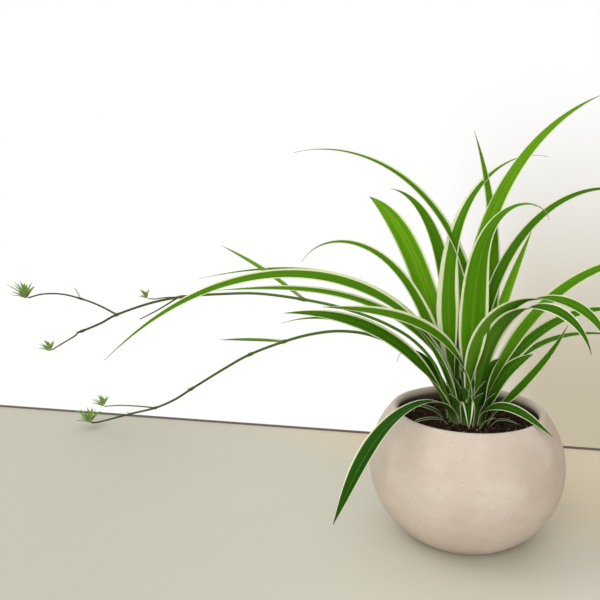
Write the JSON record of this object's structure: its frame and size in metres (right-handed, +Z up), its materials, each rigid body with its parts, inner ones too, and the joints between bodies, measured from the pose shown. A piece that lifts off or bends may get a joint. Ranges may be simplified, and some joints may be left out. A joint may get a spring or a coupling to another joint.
{
  "type": "potted spider plant",
  "caption": "Variegated spider plant in a round matte bowl, with long arching striped leaves and thin trailing runners that carry plantlets.",
  "frame": {"origin": "centre of the flat foot that the bowl stands on", "axes": "+Z up out of the bowl; the runners trail away towards -X, and -Y is the side that faces a viewer in front"},
  "size_m": [0.5717, 0.3123, 0.3267],
  "materials": {
    "bowl_clay": "matte, fine grained, pinkish beige",
    "soil": "rough dark potting soil with a few pale specks",
    "heart": "satin green leaf with cream margins",
    "leaf": "satin green leaf with cream margins",
    "runner": "smooth dark green stem",
    "plantlet": "satin green young leaf"
  },
  "bodies": {
    "root": {"bowl": "bowl_clay", "soil": "soil", "heart": "heart", "leaf_back_1": "leaf", "leaf_back_2": "leaf", "leaf_front_1": "leaf", "leaf_front_2": "leaf", "leaf_front_3": "leaf", "leaf_left_10": "leaf", "leaf_left_11": "leaf", "leaf_left_12": "leaf", "leaf_left_13": "leaf", "leaf_right_10": "leaf", "leaf_right_11": "leaf", "leaf_right_2": "leaf", "leaf_right_5": "leaf", "leaf_right_6": "leaf", "leaf_right_7": "leaf", "leaf_right_8": "leaf", "leaf_small_1": "leaf", "leaf_small_2": "leaf", "leaf_small_3": "leaf", "runner_lower": "runner", "runner_upper": "runner", "plantlet_lower_back": "plantlet", "plantlet_lower_front": "plantlet", "plantlet_upper_left": "plantlet", "plantlet_upper_right": "plantlet", "plantlet_upper_small": "plantlet"}
  },
  "joints": []
}
